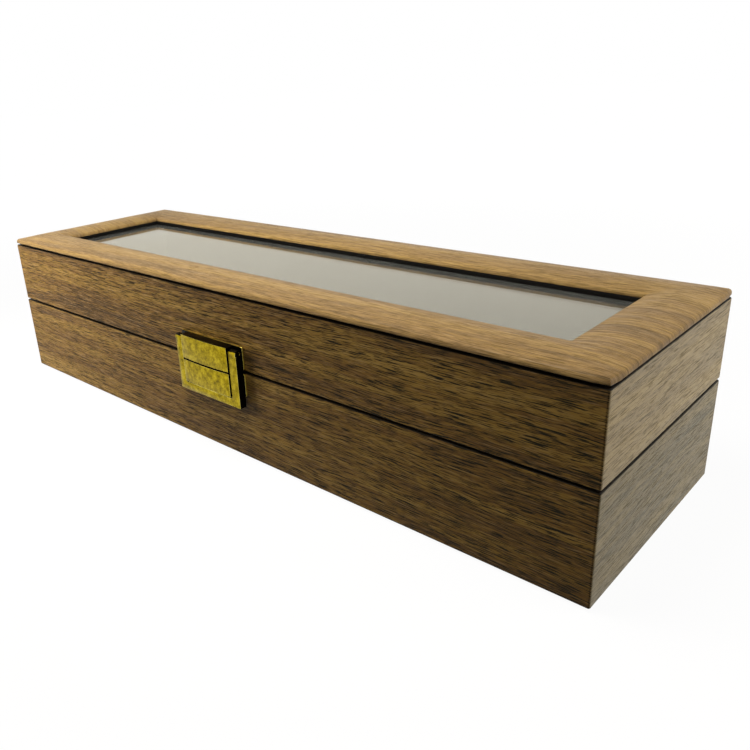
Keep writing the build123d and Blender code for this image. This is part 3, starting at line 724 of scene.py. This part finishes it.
def turnUnder(piece, outer):
    # down to the panel's underside, round a small hem, and back under the board
    hem = panel["hem"]
    steps = [(0.0, hem)]
    steps += [(hem * (1 - math.cos(t)), hem * (1 - math.sin(t))) for t in panel["hemTurns"]]
    steps.append((panel["turnIn"], 0.0))
    for inward, height in steps:
        focus(piece)
        selectOpenEdge(piece, outer)
        bpy.ops.object.mode_set(mode="EDIT")
        bpy.ops.mesh.select_mode(type="EDGE")
        bpy.ops.mesh.extrude_edges_move()
        leaveEdit()
        for vertex in piece.data.vertices:
            if not vertex.select:
                continue
            x, y = abs(vertex.co.x) / mm, abs(vertex.co.y) / mm
            if outer:
                x, y = min(x, halfLength - inward), min(y, halfDepth - inward)
            else:
                x = windowX + inward if x > windowX - panel["hemSlack"] else x
                y = windowY + inward if y > windowY - panel["hemSlack"] else y
            vertex.co = Vector((math.copysign(x * mm, vertex.co.x), math.copysign(y * mm, vertex.co.y),
                                (boxSize["panelLow"] + height) * mm))


def dressTop():
    cover = flatFrame()
    raiseSheet(cover)
    turnUnder(cover, outer=True)
    turnUnder(cover, outer=False)
    edit(cover, "FACE")
    bpy.ops.mesh.remove_doubles(threshold=panel["hemSame"] * mm)
    bpy.ops.mesh.normals_make_consistent(inside=False)
    leaveEdit()
    top = max(cover.data.polygons, key=lambda face: face.center.z)
    if top.normal.z < 0:
        edit(cover, "FACE")
        bpy.ops.mesh.flip_normals()
        leaveEdit()
    focus(cover)
    wall = cover.modifiers.new("cloth", "SOLIDIFY")
    wall.thickness = panel["cloth"] * mm
    wall.offset = -1
    bpy.ops.object.modifier_apply(modifier=wall.name)
    paint(cover, "topCloth")
    smoothed(cover, panel["smooth"])
    finishPiece(cover, "topCover.rolled", "lid", ["top_cover"])


dressTop()
print("top covered")

# Cushions: velvet over foam, pressed into the compartments
cushion = {
    # millimetres
    "shrink": 0.9, "voxel": 4.0, "cap": 1.6,   # room left to swell, mesh size, and how far a point may move
    "lumps": (17.0, 21.0, 19.0), "lumpDeep": 0.5, "nextLumps": 7.3,
    "seamHigh": 14.5, "seamWide": 0.9, "stitch": 0.3, "seamDeep": 0.55,
    "gatherHigh": 9.0, "gatherDeep": 0.16, "gathers": 9.0, "squat": 0.6, "nextGathers": 3.1,
    "clear": 0.25,                             # how far it stays inside its node's box at the sides
    "smooth": 55.0,                            # degrees
}
# settings of the cloth simulation
stuffing = {"quality": 5, "mass": 0.2, "pressure": 4.0, "stretch": 12, "bend": 0.4, "frames": 20}


def simulateCushion(piece):
    # cloth blown up from inside, without gravity
    focus(piece)
    cloth = piece.modifiers.new("cloth", "CLOTH")
    cloth.settings.quality = stuffing["quality"]
    cloth.settings.mass = stuffing["mass"]
    cloth.settings.use_pressure = True
    cloth.settings.uniform_pressure_force = stuffing["pressure"]
    cloth.settings.tension_stiffness = stuffing["stretch"]
    cloth.settings.compression_stiffness = stuffing["stretch"]
    cloth.settings.bending_stiffness = stuffing["bend"]
    cloth.settings.effector_weights.gravity = 0
    for step in range(1, stuffing["frames"] + 1):
        scene.frame_set(step)
    bpy.ops.object.modifier_apply(modifier=cloth.name)
    scene.frame_set(1)


def stuffCushion(piece, low, high, index):
    # drawn in from its node's box, meshed evenly, made lumpy and swollen again
    middle = (low + high) / 2
    for vertex in piece.data.vertices:
        p = vertex.co / mm
        for axis in range(3):
            half = (high[axis] - low[axis]) / 2
            p[axis] = middle[axis] + (p[axis] - middle[axis]) * (half - cushion["shrink"]) / half
        vertex.co = p * mm
    focus(piece)
    remesh = piece.modifiers.new("voxels", "REMESH")
    remesh.mode = "VOXEL"
    remesh.voxel_size = cushion["voxel"] * mm
    bpy.ops.object.modifier_apply(modifier=remesh.name)
    wide, deep, tall = cushion["lumps"]
    for vertex in piece.data.vertices:
        # each cushion is stuffed a little differently
        p = vertex.co / mm
        soft = noise.noise(Vector((p.x / wide, p.y / deep, p.z / tall + cushion["nextLumps"] * index)))
        vertex.co += (vertex.co - middle * mm).normalized() * cushion["lumpDeep"] * soft * mm
    rest = [vertex.co.copy() for vertex in piece.data.vertices]
    simulateCushion(piece)
    for vertex, before in zip(piece.data.vertices, rest):
        move = vertex.co - before
        if move.length > cushion["cap"] * mm:
            move = move.normalized() * cushion["cap"] * mm
        vertex.co = before + move
    focus(piece)
    finer = piece.modifiers.new("finer", "SUBSURF")
    finer.levels = finer.render_levels = 1
    bpy.ops.object.modifier_apply(modifier=finer.name)


def sewSeam(piece, low, high, index):
    # the seam between the top panel and the side band, with gathers that run up and down from its stitches
    middle = (low + high) / 2
    seam = low.z + cushion["seamHigh"]
    for height in (seam - cushion["seamWide"], seam, seam + cushion["seamWide"]):
        edit(piece)
        bpy.ops.mesh.bisect(plane_co=(0, 0, height * mm), plane_no=(0, 0, 1))
        leaveEdit()
    for vertex in piece.data.vertices:
        p = vertex.co / mm
        away = Vector((p.x - middle.x, p.y - middle.y, 0)).normalized()
        rise = abs(p.z - seam)
        pinch = max(0.0, 1 - rise / cushion["stitch"]) * cushion["seamDeep"]
        if rise < cushion["gatherHigh"]:
            turn = math.atan2(away.y * cushion["squat"], away.x)
            across, along = math.cos(turn) * cushion["gathers"], math.sin(turn) * cushion["gathers"]
            fold = noise.noise(Vector((across, along, cushion["nextGathers"] * index)))
            pinch += cushion["gatherDeep"] * (1 - rise / cushion["gatherHigh"]) * (1 + fold)
        p -= away * pinch
        for axis in range(3):
            room = cushion["clear"] if axis < 2 else 0.0
            p[axis] = min(max(p[axis], low[axis] + room), high[axis] - room)
        vertex.co = p * mm


def makeCushion(index):
    nodeName = f"cushion_{index}"
    low, high = (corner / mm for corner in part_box(nodeName))
    piece = meshFromNode(nodeName)
    stuffCushion(piece, low, high, index)
    sewSeam(piece, low, high, index)
    edit(piece)
    bpy.ops.mesh.normals_make_consistent(inside=False)
    leaveEdit()
    paint(piece, "cushionVelvet")
    smoothed(piece, cushion["smooth"])
    finishPiece(piece, nodeName + ".sewn", nodeName, [nodeName])


for index in range(1, 7):
    makeCushion(index)
print("cushions sewn")

# Pale studio: white seamless paper and world, a small lamp close on the left, one overhead, and a large one
# behind on the right
studio = {
    "floor": "#3a3a3a", "backdrop": "#ffffff", "haze": "#fdf5e3",
    "fill": 0.04,                              # strength of the world for what isn't seen directly
    "haziness": (0.13, 0.2),                   # how far up the haze starts and is full
    "glow": (0.955, 1.0), "glowPlace": (0.2, 0.7),     # strength of the floor's white, near the box and away
    "floorSize": 8.0, "floorDrop": 0.0002,
    "lamps": (
        # name, place, what it points at, size, spread in degrees, watts
        ("keyLeft", (-0.27, -0.22, 0.17), (-0.12, -0.05, 0.05), 0.16, 105, 0.48),
        ("overhead", (0.03, -0.10, 0.42), (0.0, 0.0, 0.04), 0.2, 180, 1.75),
        ("rightBack", (0.62, 0.24, 0.20), (0.0, 0.0, 0.04), 0.4, 180, 2.75),
    ),
    "notMirrored": "keyLeft",                  # the glass would show it as a hard white patch
    "warmth": (1.0, 0.93, 0.85),
}
eyeLook = {
    "place": (0.254397, -0.244381, 0.164945), "turn": (68.6271, 3.0406, 43.2588),
    "lens": 35.649, "sensor": 36.0, "shift": (0.07259, -0.02114), "clip": 0.01,
}


def seenDirectly(tree):
    # 1 for what the camera sees itself, or in metal or glass
    rays = addNode(tree, "LightPath")
    both = addNode(tree, "Math", [rays["Is Camera Ray"], rays["Is Glossy Ray"]], operation="MAXIMUM")
    return addNode(tree, "Math", [both, rays["Is Transmission Ray"]], operation="MAXIMUM")


def makeWorld():
    world = bpy.data.worlds.new("paleStudio")
    scene.world = world
    world.use_nodes = True
    tree = world.node_tree
    background = tree.nodes["Background"]
    # white by the horizon, a little warmer higher up, where only the glass looks
    direction = addNode(tree, "SeparateXYZ", [addNode(tree, "TexCoord")["Generated"]])
    high = addNode(tree, "MapRange", {
        "Value": direction["Z"], "From Min": studio["haziness"][0], "From Max": studio["haziness"][1]})
    addNode(tree, "Mix", {"A": linear(studio["backdrop"]), "B": linear(studio["haze"]), "Factor": high},
            data_type="RGBA", into=background.inputs["Color"])
    addNode(tree, "Math", [seenDirectly(tree), 1 - studio["fill"], studio["fill"]], operation="MULTIPLY_ADD",
            into=background.inputs["Strength"])


def makeFloor():
    bpy.ops.object.select_all(action="DESELECT")
    bpy.ops.mesh.primitive_plane_add(size=studio["floorSize"], location=(0, 0, -studio["floorDrop"]))
    floor = bpy.context.object
    floor.name = "studioFloor"
    # matt paper that is dark to the lamps, so its white is only what it glows with
    material, tree, shader = newMaterial("whiteSeamlessPaper", Base_Color=linear(studio["floor"]),
                                         Roughness=1.0, Specular_IOR_Level=0.0, Emission_Color=(1, 1, 1, 1))
    distance = addNode(tree, "VectorMath", [addNode(tree, "TexCoord")["Object"]], operation="LENGTH")
    glow = addNode(tree, "MapRange", {
        "Value": distance, "From Min": studio["glowPlace"][0], "From Max": studio["glowPlace"][1],
        "To Min": studio["glow"][0], "To Max": studio["glow"][1]})
    addNode(tree, "Math", [glow, seenDirectly(tree)], operation="MULTIPLY",
            into=shader.inputs["Emission Strength"])
    floor.data.materials.append(material)


def hangLamps():
    for name, place, aim, size, spread, watts in studio["lamps"]:
        data = bpy.data.lights.new(name, "AREA")
        data.shape = "DISK"
        data.size = size
        data.spread = math.radians(spread)
        data.energy = watts
        data.color = studio["warmth"]
        lamp = bpy.data.objects.new(name, data)
        scene.collection.objects.link(lamp)
        lamp.location = place
        lamp.visible_camera = False
        lamp.visible_glossy = name != studio["notMirrored"]
        lamp.rotation_euler = (Vector(aim) - lamp.location).to_track_quat("-Z", "Y").to_euler()


def setCamera():
    eye = bpy.data.cameras.new("eye")
    camera = bpy.data.objects.new("eye", eye)
    scene.collection.objects.link(camera)
    camera.location = eyeLook["place"]
    camera.rotation_euler = [math.radians(a) for a in eyeLook["turn"]]
    eye.lens = eyeLook["lens"]
    eye.sensor_width = eyeLook["sensor"]
    eye.shift_x, eye.shift_y = eyeLook["shift"]
    eye.clip_start = eyeLook["clip"]
    scene.camera = camera
    scene.view_settings.view_transform = "Standard"


makeWorld()
makeFloor()
hangLamps()
setCamera()
print("studio lit")

bpy.context.view_layer.update()
